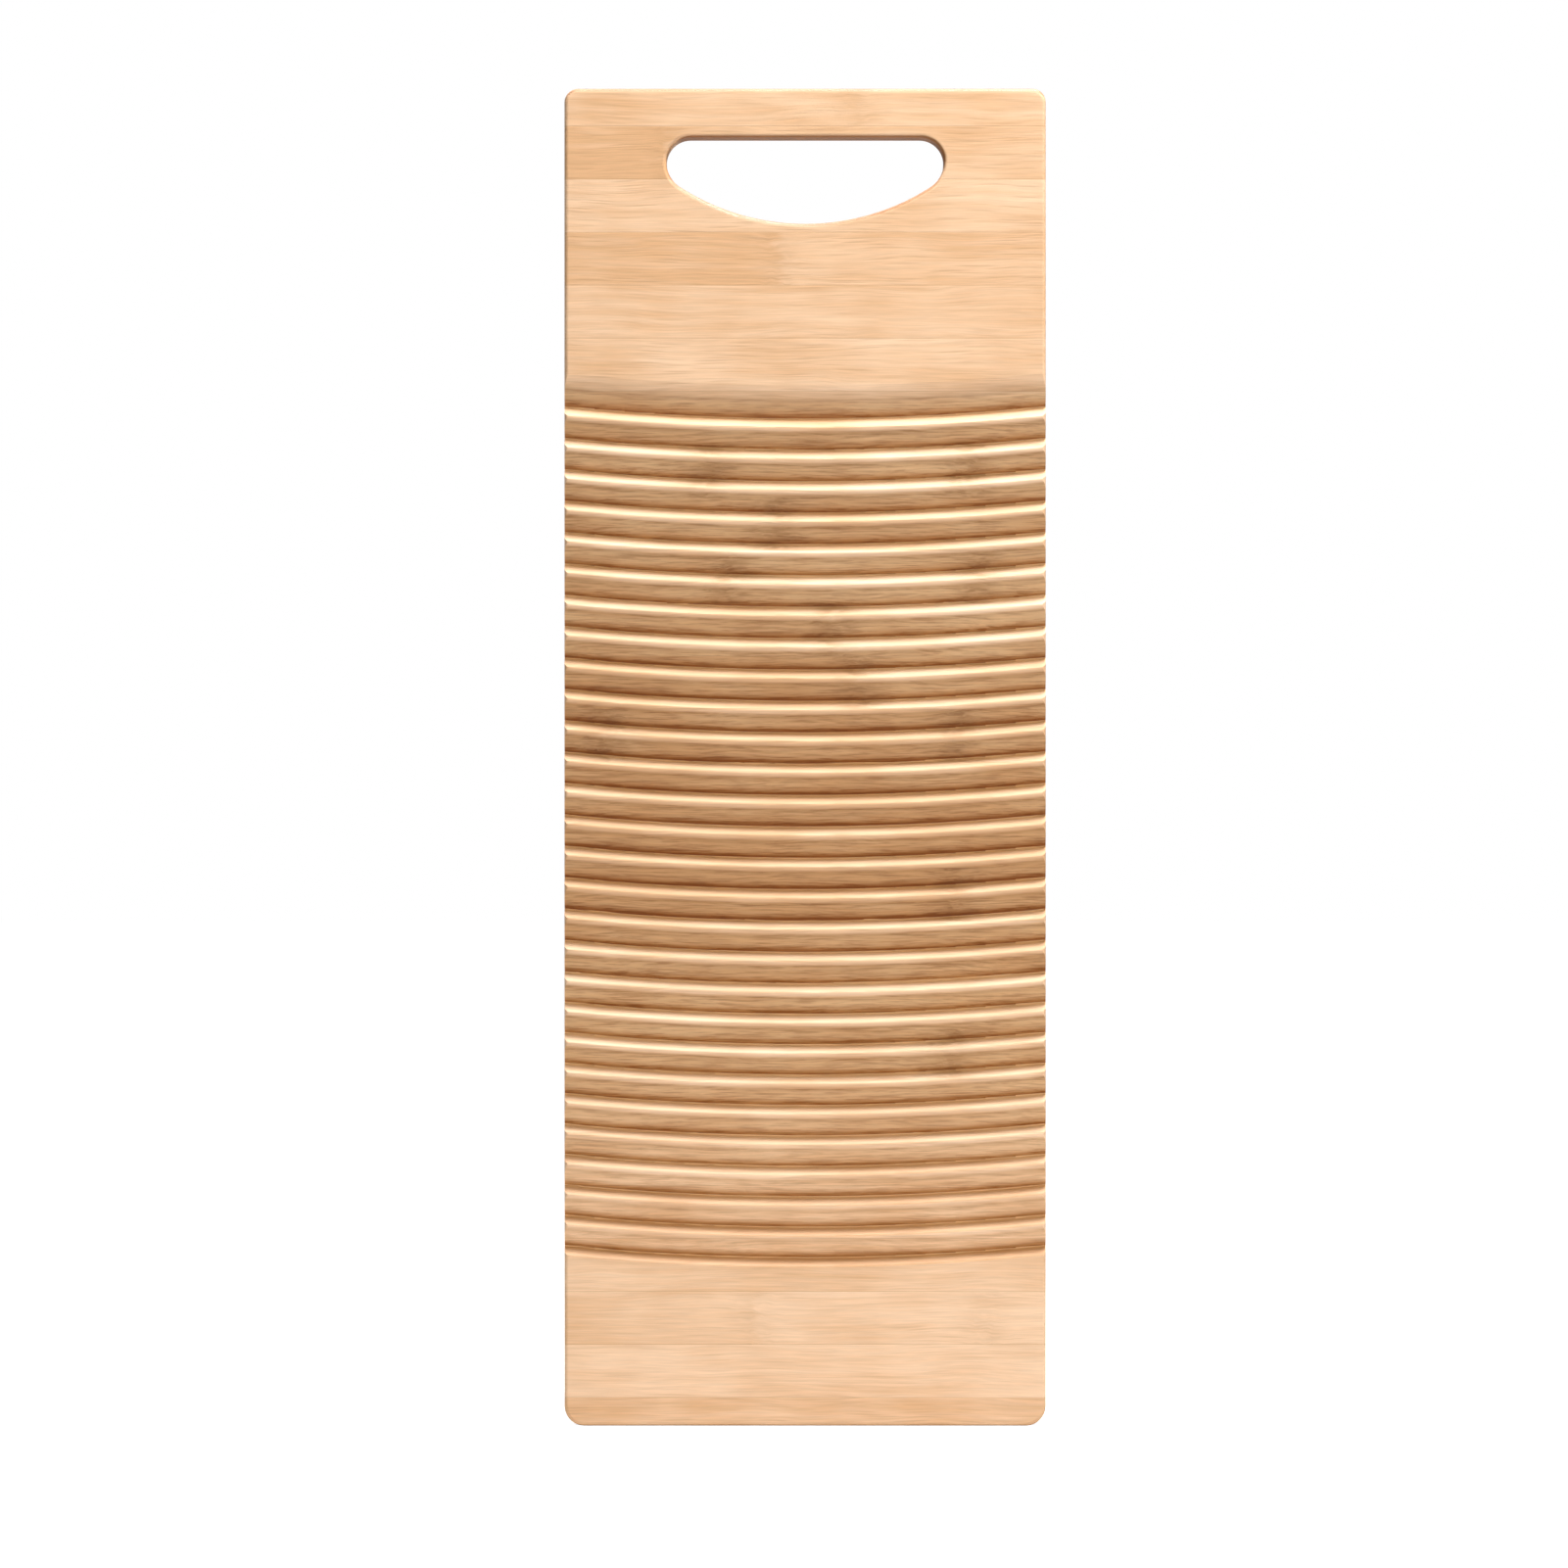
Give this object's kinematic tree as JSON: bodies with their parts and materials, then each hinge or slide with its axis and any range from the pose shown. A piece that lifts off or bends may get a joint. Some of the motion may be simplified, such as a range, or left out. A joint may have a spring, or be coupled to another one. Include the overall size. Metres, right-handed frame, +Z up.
{
  "type": "washboard",
  "caption": "Flat laminated bamboo washboard with a D-shaped hand hole near the top, curved saw-tooth ridges across its front and plain areas above and below them.",
  "frame": {"origin": "middle of the bottom edge, halfway through the thickness", "axes": "+X to the right across the width, seen from the front; +Y from the ridged front to the plain back; +Z up along the length, towards the hand hole"},
  "size_m": [0.18, 0.018, 0.5],
  "materials": {
    "front_ply": "satin bamboo, grain across the board",
    "core_ply": "satin bamboo, grain along the board",
    "back_ply": "satin bamboo, grain across the board"
  },
  "bodies": {
    "root": {"front_strip_01": "front_ply", "front_strip_02": "front_ply", "front_strip_03": "front_ply", "front_strip_04": "front_ply", "front_strip_05": "front_ply", "front_strip_06": "front_ply", "front_strip_07": "front_ply", "front_strip_08": "front_ply", "front_strip_09": "front_ply", "front_strip_10": "front_ply", "front_strip_11": "front_ply", "front_strip_12": "front_ply", "front_strip_13": "front_ply", "front_strip_14": "front_ply", "front_strip_15": "front_ply", "front_strip_16": "front_ply", "front_strip_17": "front_ply", "front_strip_18": "front_ply", "front_strip_19": "front_ply", "front_strip_20": "front_ply", "front_strip_21": "front_ply", "front_strip_22": "front_ply", "front_strip_23": "front_ply", "front_strip_24": "front_ply", "front_strip_25": "front_ply", "front_strip_26": "front_ply", "core_strip_1": "core_ply", "core_strip_2": "core_ply", "core_strip_3": "core_ply", "core_strip_4": "core_ply", "core_strip_5": "core_ply", "core_strip_6": "core_ply", "core_strip_7": "core_ply", "core_strip_8": "core_ply", "core_strip_9": "core_ply", "back_strip_01": "back_ply", "back_strip_02": "back_ply", "back_strip_03": "back_ply", "back_strip_04": "back_ply", "back_strip_05": "back_ply", "back_strip_06": "back_ply", "back_strip_07": "back_ply", "back_strip_08": "back_ply", "back_strip_09": "back_ply", "back_strip_10": "back_ply", "back_strip_11": "back_ply", "back_strip_12": "back_ply", "back_strip_13": "back_ply", "back_strip_14": "back_ply", "back_strip_15": "back_ply", "back_strip_16": "back_ply", "back_strip_17": "back_ply", "back_strip_18": "back_ply", "back_strip_19": "back_ply", "back_strip_20": "back_ply", "back_strip_21": "back_ply", "back_strip_22": "back_ply", "back_strip_23": "back_ply", "back_strip_24": "back_ply", "back_strip_25": "back_ply"}
  },
  "joints": []
}
